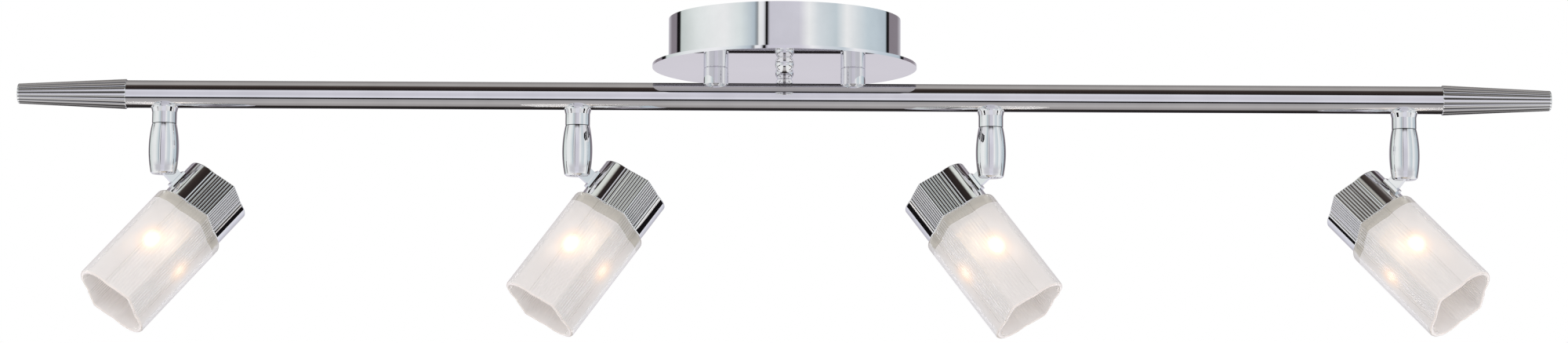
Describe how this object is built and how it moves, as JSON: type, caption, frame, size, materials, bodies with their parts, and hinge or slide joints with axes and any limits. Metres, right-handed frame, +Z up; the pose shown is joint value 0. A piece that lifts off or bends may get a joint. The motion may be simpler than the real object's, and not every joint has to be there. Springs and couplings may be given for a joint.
{
  "type": "ceiling bar light",
  "caption": "Chrome ceiling bar light: round canopy, straight tube with ribbed tapered ends, and swivelling, tilting lamp heads with ribbed frosted glass shades.",
  "frame": {"origin": "centre of the canopy at the ceiling face", "axes": "+Z up into the ceiling, +X along the tube, -Y towards the side that the lamps face"},
  "size_m": [0.8876, 0.1532, 0.1853],
  "materials": {
    "chrome": "polished",
    "mirror_chrome": "polished",
    "zinc_steel": "satin",
    "brass": "satin",
    "green_screw": "satin",
    "copper": "satin",
    "connector_plastic": "satin",
    "black_insulation": "satin",
    "white_insulation": "satin",
    "black_washer": "matte",
    "ceramic": "matte",
    "bulb_glass": "gloss",
    "frosted_glass": "satin"
  },
  "bodies": {
    "bar": {"canopy_cup": "chrome", "canopy_plate": "mirror_chrome", "mounting_strap": "zinc_steel", "strap_studs": "zinc_steel", "ball_nuts": "chrome", "ground_screw": "green_screw", "ground_wire": "copper", "wire_connectors": "connector_plastic", "harness_black": "black_insulation", "harness_white": "white_insulation", "post_left": "chrome", "post_right": "chrome", "post_nipples": "brass", "nipple_locknuts": "zinc_steel", "bar_tube": "chrome", "end_cap_left": "chrome", "end_cap_right": "chrome", "swivel_nipples": "brass", "swivel_washers": "black_washer", "neck_1": "chrome", "neck_2": "chrome", "neck_3": "chrome", "neck_4": "chrome"},
    "swivel_1": {"stem_1": "chrome", "tilt_pin_1": "zinc_steel"},
    "lamp_1": {"tongue_1": "chrome", "housing_1": "chrome", "socket_1": "ceramic", "bulb_1": "bulb_glass", "shade_1": "frosted_glass", "shade_ring_1": "zinc_steel"},
    "swivel_2": {"stem_2": "chrome", "tilt_pin_2": "zinc_steel"},
    "lamp_2": {"tongue_2": "chrome", "housing_2": "chrome", "socket_2": "ceramic", "bulb_2": "bulb_glass", "shade_2": "frosted_glass", "shade_ring_2": "zinc_steel"},
    "swivel_3": {"stem_3": "chrome", "tilt_pin_3": "zinc_steel"},
    "lamp_3": {"tongue_3": "chrome", "housing_3": "chrome", "socket_3": "ceramic", "bulb_3": "bulb_glass", "shade_3": "frosted_glass", "shade_ring_3": "zinc_steel"},
    "swivel_4": {"stem_4": "chrome", "tilt_pin_4": "zinc_steel"},
    "lamp_4": {"tongue_4": "chrome", "housing_4": "chrome", "socket_4": "ceramic", "bulb_4": "bulb_glass", "shade_4": "frosted_glass", "shade_ring_4": "zinc_steel"}
  },
  "joints": [
    {"name": "swivel_1", "type": "hinge", "parent": "bar", "child": "swivel_1", "pos_m": [-0.3588, 0, -0.0626], "axis": [0, 0, 1], "range_deg": [-170, 170]},
    {"name": "tilt_1", "type": "hinge", "parent": "swivel_1", "child": "lamp_1", "pos_m": [-0.3588, 0, -0.0859], "axis": [0.5446, -0.8387, 0], "range_deg": [-46.5, 43.5]},
    {"name": "swivel_2", "type": "hinge", "parent": "bar", "child": "swivel_2", "pos_m": [-0.1196, 0, -0.0626], "axis": [0, 0, 1], "range_deg": [-170, 170]},
    {"name": "tilt_2", "type": "hinge", "parent": "swivel_2", "child": "lamp_2", "pos_m": [-0.1196, 0, -0.0859], "axis": [0.3827, -0.9239, 0], "range_deg": [-52.3, 37.7]},
    {"name": "swivel_3", "type": "hinge", "parent": "bar", "child": "swivel_3", "pos_m": [0.1196, 0, -0.0626], "axis": [0, 0, 1], "range_deg": [-170, 170]},
    {"name": "tilt_3", "type": "hinge", "parent": "swivel_3", "child": "lamp_3", "pos_m": [0.1196, 0, -0.0859], "axis": [0.4384, 0.8988, 0], "range_deg": [-51, 39]},
    {"name": "swivel_4", "type": "hinge", "parent": "bar", "child": "swivel_4", "pos_m": [0.3588, 0, -0.0626], "axis": [0, 0, 1], "range_deg": [-170, 170]},
    {"name": "tilt_4", "type": "hinge", "parent": "swivel_4", "child": "lamp_4", "pos_m": [0.3588, 0, -0.0859], "axis": [0.6157, 0.788, 0], "range_deg": [-43.4, 46.6]}
  ]
}
